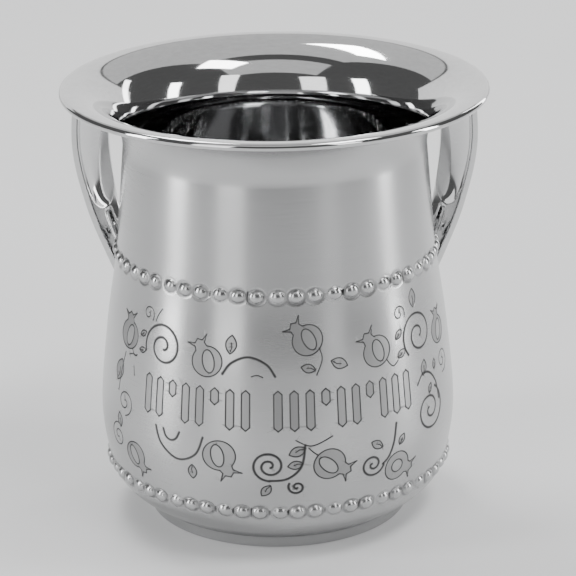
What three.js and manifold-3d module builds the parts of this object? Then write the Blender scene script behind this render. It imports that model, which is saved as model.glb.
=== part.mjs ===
// Two-handled washing cup of stainless steel, spun from sheet.
// Units are millimetres, +Z is up and the origin is the centre of the foot's underside.
// The engraved front faces -Y. The handles stand a little behind the +X and -X sides.

import * as THREE from 'three';
import { mergeVertices } from 'three/addons/utils/BufferGeometryUtils.js';
import Module from 'manifold-3d';

// Overall size
const CUP_HEIGHT = 135;
const RIM_RADIUS = 65;

// Sheet, rolled lip and trumpet flare
const WALL = 0.9;
const LIP_ROLL_RADIUS = 1.2;
const LIP_ROLL_START = -144;
const FLARE_DEPTH = 18;
const NECK_RADIUS = 46.3;

// Stations of the body's outer curve
const SHOULDER_HEIGHT = 84;
const SHOULDER_RADIUS = 49.2;
const WAIST_HEIGHT = 60;
const WAIST_RADIUS = 52.7;
const BELLY_HEIGHT = 34;
const BELLY_RADIUS = 55.1;
const HEEL_HEIGHT = 17;
const HEEL_RADIUS = 53;

// Corner that the heel's curve bends round, inside the heel radius and up from the foot
const HEEL_BEND_INSET = 1;
const HEEL_BEND_SHARE = 0.45;

// Foot ring and the recess under the floor
const FOOT_RADIUS = 40.6;
const FOOT_HEIGHT = 3.6;
const FOOT_RING_WIDTH = 3;
const FOOT_RECESS = 2.2;
const FOOT_CHAMFER = 0.5;

// Rows of pressed beads round the shoulder and the heel
const SHOULDER_BEADS = 54;
const HEEL_BEADS = 60;
const BEAD_RADIUS = 2.1;
const BEAD_RISE = 1.15;
const BEAD_TURN = 45;

// Strap handles with a dished inner face between two flanges
const HANDLE_SET_BACK = 22;
const HANDLE_REACH = 63.4;
const HANDLE_CREST_HEIGHT = 112;
const HANDLE_FOOT_HEIGHT = 66;
const HANDLE_TOP_INSET = 4.2;
const HANDLE_TOP_OVERRUN = 1;
const HANDLE_FOOT_OVERRUN = 4;
const HANDLE_TOP_WIDTH = 26;
const HANDLE_FOOT_WIDTH = 13;
const HANDLE_EDGE = 2.5;
const HANDLE_WEB = 1.2;
const HANDLE_CROWN = 0.5;
const FLANGE_WIDTH = 2.2;
const FLANGE_SLOPE = 1.2;

// Two bends between crest and foot, as shares of the handle's reach past the shoulder and of its drop
const UPPER_BEND_REACH = 0.79;
const UPPER_BEND_DROP = 0.43;
const LOWER_BEND_REACH = 0.42;
const LOWER_BEND_DROP = 0.76;

// Clearance between a handle and the cup that it is soldered to
const SOLDER_GAP = 0.3;

// Facet counts
const LATHE_SEGMENTS = 48;
const BODY_CURVE_STEPS = 10;
const HEEL_CURVE_STEPS = 3;
const FLARE_STEPS = 5;
const LIP_UNDER_STEPS = 3;
const LIP_OVER_STEPS = 2;
const HANDLE_STATIONS = 18;
const CROWN_STEPS = 4;

// Corners closer than this are one corner
const MERGE_DISTANCE = 1e-4;

const wasm = await Module();
wasm.setup();

// A closed three.js geometry as a solid that can be joined and cut
function toSolid(geometry) {
  const bare = new THREE.BufferGeometry();
  bare.setAttribute('position', geometry.attributes.position);
  bare.setIndex(geometry.index);
  const merged = mergeVertices(bare, MERGE_DISTANCE);
  return new wasm.Manifold(new wasm.Mesh({
    numProp: 3,
    vertProperties: new Float32Array(merged.attributes.position.array),
    triVerts: new Uint32Array(merged.index.array),
  }));
}

function toGeometry(solid) {
  const mesh = solid.getMesh();
  const geometry = new THREE.BufferGeometry();
  geometry.setAttribute('position', new THREE.BufferAttribute(mesh.vertProperties, 3));
  geometry.setIndex(new THREE.BufferAttribute(mesh.triVerts, 1));
  geometry.computeVertexNormals();
  return geometry;
}

// A profile of (radius, height) points turned about the Z axis
function turned(profile) {
  const geometry = new THREE.LatheGeometry(profile, LATHE_SEGMENTS);
  geometry.rotateX(Math.PI / 2);
  return toSolid(geometry);
}

// Outer curve of the bowl's heel, from the foot ring out to the heel beads
function heelCurve() {
  const foot = new THREE.Vector2(FOOT_RADIUS, FOOT_HEIGHT);
  const heel = new THREE.Vector2(HEEL_RADIUS, HEEL_HEIGHT);
  const bend = new THREE.Vector2(
    HEEL_RADIUS - HEEL_BEND_INSET,
    THREE.MathUtils.lerp(FOOT_HEIGHT, HEEL_HEIGHT, HEEL_BEND_SHARE),
  );
  return new THREE.QuadraticBezierCurve(foot, bend, heel).getPoints(HEEL_CURVE_STEPS);
}

// Outer curve from the heel over the belly and the shoulder to the neck
function bodyCurve() {
  const stations = [
    new THREE.Vector2(HEEL_RADIUS, HEEL_HEIGHT),
    new THREE.Vector2(BELLY_RADIUS, BELLY_HEIGHT),
    new THREE.Vector2(WAIST_RADIUS, WAIST_HEIGHT),
    new THREE.Vector2(SHOULDER_RADIUS, SHOULDER_HEIGHT),
    new THREE.Vector2(NECK_RADIUS, CUP_HEIGHT - FLARE_DEPTH),
  ];
  return new THREE.SplineCurve(stations).getPoints(BODY_CURVE_STEPS);
}

// Under side of the trumpet flare, a quarter ellipse that ends level at the lip roll
function flareCurve() {
  const ellipse = new THREE.EllipseCurve(
    RIM_RADIUS - LIP_ROLL_RADIUS,
    CUP_HEIGHT - FLARE_DEPTH,
    RIM_RADIUS - LIP_ROLL_RADIUS - NECK_RADIUS,
    FLARE_DEPTH - WALL,
    Math.PI,
    Math.PI / 2,
    true,
  );
  return ellipse.getPoints(FLARE_STEPS);
}

// Outer line of the cup from the foot ring to just under the lip roll
function outerLine() {
  return [...heelCurve(), ...bodyCurve().slice(1), ...flareCurve().slice(1)];
}

// A line moved out along the normal at each of its points, or in where the distance is negative
function offsetLine(line, distance) {
  return line.map((point, i) => {
    const before = line[Math.max(i - 1, 0)];
    const after = line[Math.min(i + 1, line.length - 1)];
    const along = after.clone().sub(before).normalize();
    return new THREE.Vector2(point.x + along.y * distance, point.y - along.x * distance);
  });
}

// Rolled lip: the sheet turns down round a small circle at the rim
function lipRoll() {
  const across = RIM_RADIUS - LIP_ROLL_RADIUS;
  const up = CUP_HEIGHT - LIP_ROLL_RADIUS;
  const arc = (from, to, steps) => new THREE.EllipseCurve(
    across,
    up,
    LIP_ROLL_RADIUS,
    LIP_ROLL_RADIUS,
    from,
    to,
  ).getPoints(steps);
  const under = arc(THREE.MathUtils.degToRad(LIP_ROLL_START), 0, LIP_UNDER_STEPS);
  const over = arc(0, Math.PI / 2, LIP_OVER_STEPS);
  return [...under, ...over.slice(1)];
}

// Closed section of the hollow cup, from the axis under the floor round to the axis above it
function cupProfile() {
  const ringInside = FOOT_RADIUS - FOOT_RING_WIDTH;
  const floorTop = FOOT_RECESS + WALL;
  const outer = outerLine();
  const inner = offsetLine(outer, -WALL);
  const underFlare = outer.slice(0, -1);
  const overFlare = inner.slice(1, -1).filter((point) => point.y > floorTop).reverse();
  return [
    new THREE.Vector2(0, FOOT_RECESS),
    new THREE.Vector2(ringInside - FOOT_RECESS, FOOT_RECESS),
    new THREE.Vector2(ringInside, FOOT_CHAMFER),
    new THREE.Vector2(ringInside + FOOT_CHAMFER, 0),
    new THREE.Vector2(FOOT_RADIUS - FOOT_CHAMFER, 0),
    new THREE.Vector2(FOOT_RADIUS, FOOT_CHAMFER),
    ...underFlare,
    ...lipRoll(),
    ...overFlare,
    new THREE.Vector2(FOOT_RADIUS - WALL, floorTop),
    new THREE.Vector2(0, floorTop),
  ];
}

// One row of low round beads, half sunk in the wall
function beadRow(count, radius, height) {
  const beads = [];
  for (let i = 0; i < count; i += 1) {
    const bead = new THREE.OctahedronGeometry(1, 0);
    bead.rotateX(THREE.MathUtils.degToRad(BEAD_TURN));
    bead.scale(BEAD_RISE, BEAD_RADIUS, BEAD_RADIUS);
    bead.translate(radius, 0, height);
    bead.rotateZ((i / count) * Math.PI * 2);
    beads.push(toSolid(bead));
  }
  return beads;
}

function cupBody() {
  let solid = turned(cupProfile());
  const rows = [
    ...beadRow(SHOULDER_BEADS, SHOULDER_RADIUS, SHOULDER_HEIGHT),
    ...beadRow(HEEL_BEADS, HEEL_RADIUS, HEEL_HEIGHT),
  ];
  for (const bead of rows) {
    solid = solid.add(bead);
  }
  return solid;
}

// Disc that holds the whole upper bead row, grown by the solder gap
function beadGuard() {
  const reach = SHOULDER_RADIUS + BEAD_RISE + SOLDER_GAP;
  const half = BEAD_RADIUS + SOLDER_GAP;
  return turned([
    new THREE.Vector2(0, SHOULDER_HEIGHT - half),
    new THREE.Vector2(reach, SHOULDER_HEIGHT - half),
    new THREE.Vector2(reach, SHOULDER_HEIGHT + half),
    new THREE.Vector2(0, SHOULDER_HEIGHT + half),
  ]);
}

// Everything inside the cup's outer line and beads, grown by the solder gap, up past the rim
function cupEnvelope() {
  const lipUnder = CUP_HEIGHT - 2 * LIP_ROLL_RADIUS - SOLDER_GAP;
  const lipInside = RIM_RADIUS - 2 * LIP_ROLL_RADIUS - SOLDER_GAP;
  const clearOut = RIM_RADIUS + HANDLE_REACH;
  const clearUp = CUP_HEIGHT * 2;
  const grown = offsetLine(outerLine(), SOLDER_GAP);
  return turned([
    new THREE.Vector2(0, 0),
    new THREE.Vector2(FOOT_RADIUS, 0),
    ...grown.filter((point) => point.y < lipUnder),
    new THREE.Vector2(lipInside, lipUnder),
    new THREE.Vector2(clearOut, lipUnder),
    new THREE.Vector2(clearOut, clearUp),
    new THREE.Vector2(0, clearUp),
  ]).add(beadGuard());
}

// Line of the handle's outer edges in the plane of radius and height
function handleLine() {
  const bend = (reachShare, dropShare) => new THREE.Vector2(
    THREE.MathUtils.lerp(SHOULDER_RADIUS, HANDLE_REACH, reachShare),
    THREE.MathUtils.lerp(HANDLE_CREST_HEIGHT, HANDLE_FOOT_HEIGHT, dropShare),
  );
  return new THREE.SplineCurve([
    new THREE.Vector2(RIM_RADIUS - HANDLE_TOP_INSET, CUP_HEIGHT + HANDLE_TOP_OVERRUN),
    new THREE.Vector2(HANDLE_REACH, HANDLE_CREST_HEIGHT),
    bend(UPPER_BEND_REACH, UPPER_BEND_DROP),
    bend(LOWER_BEND_REACH, LOWER_BEND_DROP),
    new THREE.Vector2(SHOULDER_RADIUS - WALL, HANDLE_FOOT_HEIGHT - HANDLE_FOOT_OVERRUN),
  ]);
}

// Section across the strap: (across, outward) points from one edge round to the same edge
function strapSection(halfWidth) {
  const section = [];
  for (let i = 0; i <= CROWN_STEPS; i += 1) {
    const across = -1 + (2 * i) / CROWN_STEPS;
    section.push(new THREE.Vector2(across * halfWidth, HANDLE_CROWN * (1 - across * across)));
  }
  const flange = halfWidth - FLANGE_WIDTH;
  const web = flange - FLANGE_SLOPE;
  section.push(new THREE.Vector2(halfWidth, -HANDLE_EDGE));
  section.push(new THREE.Vector2(flange, -HANDLE_EDGE));
  section.push(new THREE.Vector2(web, -HANDLE_WEB));
  section.push(new THREE.Vector2(-web, -HANDLE_WEB));
  section.push(new THREE.Vector2(-flange, -HANDLE_EDGE));
  section.push(new THREE.Vector2(-halfWidth, -HANDLE_EDGE));
  return section;
}

// Sections carried along the handle's line, closed at both ends
function strap() {
  const line = handleLine();
  const positions = [];
  const indices = [];
  let ringSize = 0;
  for (let i = 0; i <= HANDLE_STATIONS; i += 1) {
    const share = i / HANDLE_STATIONS;
    const point = line.getPoint(share);
    const along = line.getTangent(share);
    const outward = new THREE.Vector2(-along.y, along.x);
    const ease = share * share * (3 - 2 * share);
    const halfWidth = THREE.MathUtils.lerp(HANDLE_TOP_WIDTH, HANDLE_FOOT_WIDTH, ease) / 2;
    const section = strapSection(halfWidth);
    ringSize = section.length;
    for (const corner of section) {
      const place = point.clone().addScaledVector(outward, corner.y);
      positions.push(place.x, corner.x, place.y);
    }
  }
  for (let i = 0; i < HANDLE_STATIONS; i += 1) {
    for (let j = 0; j < ringSize; j += 1) {
      const a = i * ringSize + j;
      const b = i * ringSize + ((j + 1) % ringSize);
      indices.push(a, a + ringSize, b, b, a + ringSize, b + ringSize);
    }
  }
  const cap = THREE.ShapeUtils.triangulateShape(strapSection(HANDLE_TOP_WIDTH / 2), []);
  const last = HANDLE_STATIONS * ringSize;
  for (const [a, b, c] of cap) {
    indices.push(c, b, a);
    indices.push(last + a, last + b, last + c);
  }
  const geometry = new THREE.BufferGeometry();
  geometry.setAttribute('position', new THREE.Float32BufferAttribute(positions, 3));
  geometry.setIndex(indices);
  return toSolid(geometry);
}

const satinSteel = new THREE.MeshStandardMaterial({
  color: 0xb9bbbd,
  metalness: 1,
  roughness: 0.3,
});
const polishedSteel = new THREE.MeshStandardMaterial({
  color: 0xc9cbcd,
  metalness: 1,
  roughness: 0.08,
});

function named(name, solid, material) {
  const mesh = new THREE.Mesh(toGeometry(solid), material);
  mesh.name = name;
  return mesh;
}

const cup = new THREE.Group();
cup.add(named('cup_body', cupBody(), satinSteel));

const handle = strap().subtract(cupEnvelope());
const rightHandle = named('right_handle', handle, polishedSteel);
rightHandle.rotation.z = THREE.MathUtils.degToRad(HANDLE_SET_BACK);
cup.add(rightHandle);

const leftHandle = named('left_handle', handle, polishedSteel);
leftHandle.rotation.z = THREE.MathUtils.degToRad(180 - HANDLE_SET_BACK);
cup.add(leftHandle);

export default cup;
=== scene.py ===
"""Two-handled washing cup of stainless steel: spun body, strap handles and engraved frieze."""
import math

import bmesh
import bpy
import numpy as np
from mathutils import Matrix, Vector
from mathutils.geometry import delaunay_2d_cdt


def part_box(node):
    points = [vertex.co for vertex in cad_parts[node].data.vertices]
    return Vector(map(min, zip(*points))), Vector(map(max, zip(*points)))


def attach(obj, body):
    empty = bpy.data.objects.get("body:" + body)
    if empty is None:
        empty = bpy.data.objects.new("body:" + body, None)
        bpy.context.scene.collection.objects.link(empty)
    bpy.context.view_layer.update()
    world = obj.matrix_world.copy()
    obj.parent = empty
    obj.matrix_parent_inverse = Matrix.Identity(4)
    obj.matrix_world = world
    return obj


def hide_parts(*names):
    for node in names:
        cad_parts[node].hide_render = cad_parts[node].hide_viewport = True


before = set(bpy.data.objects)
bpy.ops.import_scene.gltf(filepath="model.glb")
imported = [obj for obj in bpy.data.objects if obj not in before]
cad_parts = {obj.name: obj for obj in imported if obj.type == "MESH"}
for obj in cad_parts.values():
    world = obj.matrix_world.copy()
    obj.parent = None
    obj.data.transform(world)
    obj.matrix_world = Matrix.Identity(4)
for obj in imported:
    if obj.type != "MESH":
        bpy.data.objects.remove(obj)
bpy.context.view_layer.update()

bl_info = {
    "name": "Washing cup",
    "version": (1, 0, 0),
    "blender": (4, 5, 0),
    "location": "View3D > Sidebar > Washing cup",
    "description": "Builds a two-handled washing cup with beaded bands and an engraved frieze",
    "category": "Add Mesh",
}

MM = 0.001
CUP_LOW, CUP_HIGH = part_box("cup_body")


def length(name, description, millimetres):
    """A size in metres whose default is given in millimetres."""
    return bpy.props.FloatProperty(
        name=name, description=description, default=millimetres * MM,
        unit="LENGTH", subtype="DISTANCE", precision=5)


def tone(name, description, grey):
    """A neutral metal colour from one grey level."""
    return bpy.props.FloatVectorProperty(
        name=name, description=description, subtype="COLOR", size=3,
        default=(grey, grey * 1.004, grey * 1.01), min=0.0, max=1.0)


def share(name, description, default):
    """A plain factor between nothing and one."""
    return bpy.props.FloatProperty(
        name=name, description=description, default=default, min=0.0, max=1.0, subtype="FACTOR")


def count(name, description, default):
    """A whole number of repeats."""
    return bpy.props.IntProperty(name=name, description=description, default=default, min=3)


def degrees(name, description, default):
    """An angle in radians whose default is given in degrees."""
    return bpy.props.FloatProperty(
        name=name, description=description, default=math.radians(default),
        unit="ROTATION", subtype="ANGLE")


class CupSizes(bpy.types.PropertyGroup):
    """Sizes of the spun body."""
    height: length("Height", "Foot to the top of the rolled lip", (CUP_HIGH[2] - CUP_LOW[2]) / MM)
    rim_radius: length("Rim radius", "Axis to the outside of the lip", CUP_HIGH[0] / MM)
    wall: length("Wall", "Thickness of the sheet", 0.9)
    lip_roll: length("Lip roll", "Radius of the rolled edge", 1.2)
    flare_depth: length("Flare depth", "Height of the trumpet flare", 18.0)
    neck_radius: length("Neck radius", "Outer radius where the flare starts", 46.3)
    shoulder_height: length("Shoulder height", "Height of the upper bead row", 84.0)
    shoulder_radius: length("Shoulder radius", "Outer radius at the upper bead row", 49.2)
    waist_height: length("Waist height", "Height of the station above the belly", 60.0)
    waist_radius: length("Waist radius", "Outer radius at that station", 52.7)
    belly_height: length("Belly height", "Height of the widest place", 34.0)
    belly_radius: length("Belly radius", "Outer radius at the widest place", 55.1)
    heel_height: length("Heel height", "Height of the lower bead row", 17.0)
    heel_radius: length("Heel radius", "Outer radius at the lower bead row", 53.0)
    foot_radius: length("Foot radius", "Outer radius of the foot ring", 40.6)
    foot_height: length("Foot height", "Height of the foot ring", 3.6)
    foot_ring: length("Foot ring width", "Width of the ring that the cup stands on", 3.0)
    foot_recess: length("Foot recess", "Depth of the recess under the floor", 2.2)


class BeadSizes(bpy.types.PropertyGroup):
    """The two rows of pressed beads."""
    shoulder_count: count("Shoulder beads", "Beads in the upper row", 54)
    heel_count: count("Heel beads", "Beads in the lower row", 60)
    half_height: length("Bead half height", "Half the height of a bead", 1.95)
    half_width: length("Bead half width", "Half the width of a bead along the row", 2.3)
    rise: length("Bead rise", "How far a bead stands out of the wall", 1.15)
    moat: length("Bead moat", "Depth of the crease round a crisp bead", 0.12)
    shade: share("Crease shade", "Darkening in the crease round a crisp bead", 0.5)
    band: length("Bead band", "Height of the band of fine mesh on each side of a row", 3.4)


class FriezeSizes(bpy.types.PropertyGroup):
    """The engraved lines of the frieze."""
    line_width: length("Line width", "Width of a fine engraved line", 0.58)
    bold_width: length("Bold line width", "Width of a scroll's line", 1.05)
    depth: length("Line depth", "Depth of an engraved line", 0.13)
    ground_depth: length("Etched ground depth", "Depth of the matt ground inside a motif", 0.03)
    station_step: length("Station step", "Distance between mesh points along a line", 0.68)
    grid_step: length("Grid step", "Mesh spacing on the plain wall", 2.0)


class HandleSizes(bpy.types.PropertyGroup):
    """The two strap handles."""
    set_back: degrees("Set back", "Angle of each handle behind the cup's side", 22.0)
    reach: length("Reach", "Axis to the handle's outer edge line at its crest", 63.4)
    crest_height: length("Crest height", "Height of the widest place", 112.0)
    foot_height: length("Foot height", "Height where the outer edge meets the cup", 66.0)
    top_width: length("Top width", "Width of the strap under the flare", 26.0)
    foot_width: length("Foot width", "Width of the strap at its lower end", 13.0)
    edge: length("Edge", "Thickness of the strap at its flanges", 2.5)
    dish: length("Dish", "Depth of the dish in the inner face", 1.7)
    flange: length("Flange", "Width of the flange beside the dish", 0.7)
    dish_length: length("Dish length", "Length of the dish from the top end", 45.0)
    groove_half: length("Groove half width", "Half the width of the groove below the dish", 2.6)
    crown: length("Crown", "Rise of the outer face between its edges", 0.5)


class FinishLooks(bpy.types.PropertyGroup):
    """Colours and gloss of the steel."""
    satin: tone("Satin steel", "Colour of the satin outside", 0.52)
    polished: tone("Polished steel", "Colour of the mirror-polished metal", 0.58)
    etched: tone("Etched line", "Colour in the engraved lines", 0.04)
    ground: tone("Etched ground", "Colour of the matt ground inside a motif", 0.34)
    satin_roughness: share("Satin roughness", "Gloss of the satin outside", 0.25)
    polished_roughness: share("Polished roughness", "Gloss of the mirror-polished metal", 0.045)
    floor: tone("Floor", "Colour of the plain floor", 0.8)


class StageSetup(bpy.types.PropertyGroup):
    """Camera and studio light."""
    camera_back: length("Camera distance", "Camera to the cup's axis, level", 780.0)
    camera_height: length("Camera height", "Camera above the floor", 348.0)
    camera_pitch: degrees("Camera pitch", "Angle below level", 19.66)
    camera_pan: degrees("Camera pan", "Turn to the right of the axis", 0.26)
    camera_roll: degrees("Camera roll", "Lean of the picture's right side upwards", 0.6)
    camera_lens: bpy.props.FloatProperty(
        name="Lens", description="Focal length on a 36 mm sensor", default=166.8, unit="CAMERA")
    world_light: share("Room light", "Brightness of the plain surroundings", 0.14)


# Outline of the body: radius and height as two columns, in metres

HEEL_STEPS, WALL_STEPS = 100, 400
HEEL_TURN_IN, HEEL_TURN_UP = 1.0 * MM, 0.45


def columns(*rows):
    """Rows of numbers side by side as columns; a single number fills its column."""
    return np.stack(np.broadcast_arrays(*rows), 1)


def smooth_step(value):
    """3t^2 - 2t^3 between nought and one, level beyond them."""
    t = np.clip(value, 0.0, 1.0)
    return t * t * (3 - 2 * t)


def left_of(line):
    """Unit vector to the left of a line at each of its points."""
    along = np.gradient(line, axis=0)
    along /= np.hypot(*along.T)[:, None] + 1e-12
    return columns(-along[:, 1], along[:, 0])


def smooth_line(stations, steps):
    """Catmull-Rom line: each span is the cubic with end slopes of half the neighbours' chord."""
    points = np.array(stations, float)
    place = np.linspace(0.0, len(points) - 1.0, steps + 1)
    span = np.minimum(place.astype(int), len(points) - 2)
    t = (place - span)[:, None]
    before = points[np.maximum(span - 1, 0)]
    start, end = points[span], points[span + 1]
    after = points[np.minimum(span + 2, len(points) - 1)]
    leave, arrive = (end - before) / 2, (after - start) / 2
    cubic = 2 * start - 2 * end + leave + arrive
    square = -3 * start + 3 * end - 2 * leave - arrive
    return ((cubic * t + square) * t + leave) * t + start


def bend(start, corner, end, steps):
    """Quadratic curve start (1 - t)^2 + 2 corner t (1 - t) + end t^2."""
    t = np.linspace(0.0, 1.0, steps + 1)[:, None]
    start, corner, end = np.array([start, corner, end], float)
    return start * (1 - t) ** 2 + 2 * corner * t * (1 - t) + end * t ** 2


def flare_line(cup, steps):
    """Quarter ellipse from the upright neck to the level rim, on the under side of the sheet."""
    angle = np.linspace(0.0, math.pi / 2, steps + 1)
    width = cup.rim_radius - cup.lip_roll - cup.neck_radius
    base = cup.height - cup.flare_depth
    return columns(cup.neck_radius + width * (1 - np.cos(angle)),
                 base + (cup.flare_depth - cup.wall) * np.sin(angle))


def wall_line(cup):
    """Fine outer line from the foot ring, round the heel, to the start of the flare."""
    turn = cup.foot_height + (cup.heel_height - cup.foot_height) * HEEL_TURN_UP
    heel = bend((cup.foot_radius, cup.foot_height), (cup.heel_radius - HEEL_TURN_IN, turn),
                (cup.heel_radius, cup.heel_height), HEEL_STEPS)
    body = smooth_line([
        (cup.heel_radius, cup.heel_height),
        (cup.belly_radius, cup.belly_height),
        (cup.waist_radius, cup.waist_height),
        (cup.shoulder_radius, cup.shoulder_height),
        (cup.neck_radius, cup.height - cup.flare_depth)], WALL_STEPS)
    return np.concatenate([heel[:-1], body])


class Wall:
    """Outer wall as a function of height: its radius and the lean of its surface."""

    def __init__(self, cup):
        self.cup = cup
        line = wall_line(cup)
        self.height, self.line_radius = line[:, 1], line[:, 0]
        self.line_slope = np.gradient(self.line_radius, self.height)

    def radius(self, z):
        """Outer radius at height z."""
        return np.interp(z, self.height, self.line_radius)

    def normal(self, z):
        """Outward unit normal as (radial, upward) parts."""
        slope = np.interp(z, self.height, self.line_slope)
        size = np.sqrt(1.0 + slope ** 2)
        return 1.0 / size, -slope / size

    def inner(self, z):
        """Point one wall thickness inside the outer point at height z."""
        out, up = self.normal(z)
        return np.stack([self.radius(z) - out * self.cup.wall, z - up * self.cup.wall], -1)


# Beads: low domes in groups of three, one soft and two crisp. The outer two of a group lean
# towards the middle one by a share of the pitch, and the crease is in shares of a bead's size.

BEAD_GROUP, GROUP_LEAN = 3, 0.05
SOFT_RISE, SOFT_POWER, CRISP_POWER = 0.85, 0.9, 0.68
CREASE_AT, CREASE_WIDTH, SOFT_CREASE = 1.12, 0.2, 0.35


def bead_relief(angle, along, number, beads, radius):
    """Height and painted shade of a bead row. The height is the dome (1 - q^2)^p with q the
    elliptical distance from the nearest bead's centre; the shade is a dark ring painted into the
    colour round each crisp bead."""
    pitch = 2 * math.pi / number
    place = angle / pitch
    nearest = np.round(place)
    in_group = np.mod(nearest, BEAD_GROUP)
    centre = nearest + (1 - in_group) * GROUP_LEAN
    across = (place - centre) * pitch * radius
    q = np.hypot(across / beads.half_width, along / beads.half_height)
    soft = in_group == 0
    inside = np.clip(1 - q ** 2, 0, 1)
    dome = np.where(soft, SOFT_RISE * inside ** SOFT_POWER, inside ** CRISP_POWER)
    # The ring is both the moat in the wall and a painted shade: a darkening of the colour in the
    # crease, weaker round a soft bead.
    ring = np.exp(-((q - CREASE_AT) / CREASE_WIDTH) ** 2) * np.where(soft, SOFT_CREASE, 1.0)
    return dome * beads.rise - ring * beads.moat, ring * beads.shade


# Engraved motifs in a flat plane: x to the right, y up, in millimetres. Crown, lens and disc are
# drawn for a fruit of radius one, and a leaf and its vein for a length of one.

CROWN = ((0.36, 1.14), (0.74, 1.56), (0.28, 1.34), (0.0, 1.54), (-0.28, 1.34), (-0.74, 1.56),
         (-0.36, 1.14))
CROWN_HALF_ANGLE = math.radians(24)
FRUIT_STEPS, DISC_STEPS, LENS_STEPS, LEAF_STEPS = 40, 25, 15, 12
FRUIT_WIDTH, FRUIT_HEIGHT = 1.03, 0.97
LENS_HALF_WIDTH, LENS_HALF_HEIGHT, LENS_ASIDE, LENS_TILT = 0.40, 0.74, 0.10, 18
DISC_SHARE = 0.46
SPIRAL_SHRINK, SPIRAL_POWER, SPIRAL_STEPS = 0.88, 1.1, 26
LEAF_FATNESS, LEAF_POWER = 0.3, 0.8
LEAF_VEIN = ((0.0, 0.12), (0.06, 0.35), (0.0, 0.6))
BAR_TIP = 0.45


def turned_by(points, tilt, place):
    """Points turned clockwise by tilt degrees and moved to place."""
    angle = math.radians(-tilt)
    turn = np.array([[math.cos(angle), math.sin(angle)], [-math.sin(angle), math.cos(angle)]])
    return points @ turn + np.array(place)


def pomegranate(radius, disc):
    """Round fruit with a three-pointed crown, and a disc or a tilted lens in its middle."""
    angle = np.linspace(math.pi / 2 + CROWN_HALF_ANGLE, math.pi * 2.5 - CROWN_HALF_ANGLE,
                        FRUIT_STEPS)
    body = columns(np.cos(angle) * FRUIT_WIDTH, np.sin(angle) * FRUIT_HEIGHT)
    outline = np.concatenate([body, CROWN, body[:1]]) * radius
    if disc:
        around = np.linspace(0, 2 * math.pi, DISC_STEPS)
        return outline, columns(np.cos(around), np.sin(around)) * DISC_SHARE * radius
    t = np.linspace(0, math.pi, LENS_STEPS)
    bulge, rise = np.sin(t) * LENS_HALF_WIDTH, -np.cos(t) * LENS_HALF_HEIGHT
    right, left = columns(LENS_ASIDE + bulge, rise), columns(LENS_ASIDE - bulge, rise)[::-1]
    return outline, turned_by(np.concatenate([right, left[1:]]) * radius, LENS_TILT, (0, 0))


def spiral(radius, turns, start, hand):
    """Radius shrinks with the turn as 1 - 0.88 t^1.1, from full to an eighth."""
    t = np.linspace(0.0, 1.0, int(turns * SPIRAL_STEPS))
    angle = math.radians(start) - hand * t * turns * 2 * math.pi
    size = radius * (1 - SPIRAL_SHRINK * t ** SPIRAL_POWER)
    return columns(np.cos(angle) * size, np.sin(angle) * size)


def leaf(size):
    """Two arcs x = 0.3 sin(pi t)^0.8 from stalk to tip, and a short vein."""
    t = np.linspace(0, 1, LEAF_STEPS)
    bulge = np.sin(t * math.pi) ** LEAF_POWER * LEAF_FATNESS * size
    right, left = columns(bulge, t * size), columns(-bulge, t * size)[::-1]
    return np.concatenate([right, left[1:]]), np.array(LEAF_VEIN) * size


def upright_bar(width, tall):
    """Plain bar with pointed ends, drawn from its middle."""
    tip = width * BAR_TIP
    half, top = width / 2, tall / 2
    return np.array([(-half, -top + tip), (0, -top), (half, -top + tip), (half, top - tip),
                     (0, top), (-half, top - tip), (-half, -top + tip)])


# Places are (degrees from the front, height in mm) and tilt is in degrees clockwise from upright.
# Fruits are (place, radius, tilt), leaves (place, length, tilt), and scrolls and curls (place,
# radius, turns, first angle, hand).

FRUITS = (
    (-58.5, 65.0, 4.5, -4), (-23.5, 63.8, 4.7, -28), (10.0, 71.0, 4.6, -44),
    (34.5, 64.5, 4.7, -34), (68.5, 62.5, 4.4, 0), (-52.5, 28.2, 4.2, 140),
    (-18.8, 35.4, 4.8, 152), (16.0, 32.7, 4.7, 118),
)
DISC_FRUITS = ((40.7, 27.0, 4.5, 112),)
SCROLLS = (
    (-40.8, 65.3, 7.4, 1.75, 200, 1), (54.5, 65.2, 7.6, 1.75, 222, 1),
    (-2.9, 33.0, 4.9, 1.9, 270, 1), (5.6, 25.9, 2.5, 1.4, 150, -1),
    (30.8, 29.8, 3.9, 1.6, -12, 1), (57.5, 40.5, 7.2, 1.8, 60, 1),
)
CURLS = (
    (-48.8, 73.8, 2.6, 1.3, -40, -1), (45.6, 73.4, 2.7, 1.3, -30, -1),
    (-58.5, 43.5, 4.2, 1.5, -80, -1), (-62.5, 31.5, 4.2, 1.6, 80, -1),
    (69.5, 52.5, 4.0, 1.5, -100, -1),
)
LEAVES = (
    (-52.0, 66.6, 3.0, 60), (-52.0, 62.0, 3.0, 80), (-64.5, 49.0, 7.5, 18),
    (-15.6, 66.8, 5.6, 6), (17.6, 64.2, 5.4, 112), (12.3, 62.0, 4.4, -75),
    (42.8, 66.2, 3.6, 48), (43.0, 60.6, 3.8, 62), (53.5, 73.6, 5.6, 4),
    (55.2, 51.8, 4.8, 12), (62.4, 51.6, 3.2, 8), (57.6, 45.4, 3.2, 28),
    (-60.5, 34.8, 4.6, -14), (-28.0, 31.2, 4.6, 180), (-2.6, 26.6, 4.4, 216),
    (8.4, 38.4, 5.0, -112), (7.6, 33.6, 4.4, -100), (34.5, 34.8, 4.4, -58),
    (41.3, 33.8, 3.6, 32),
)
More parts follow.
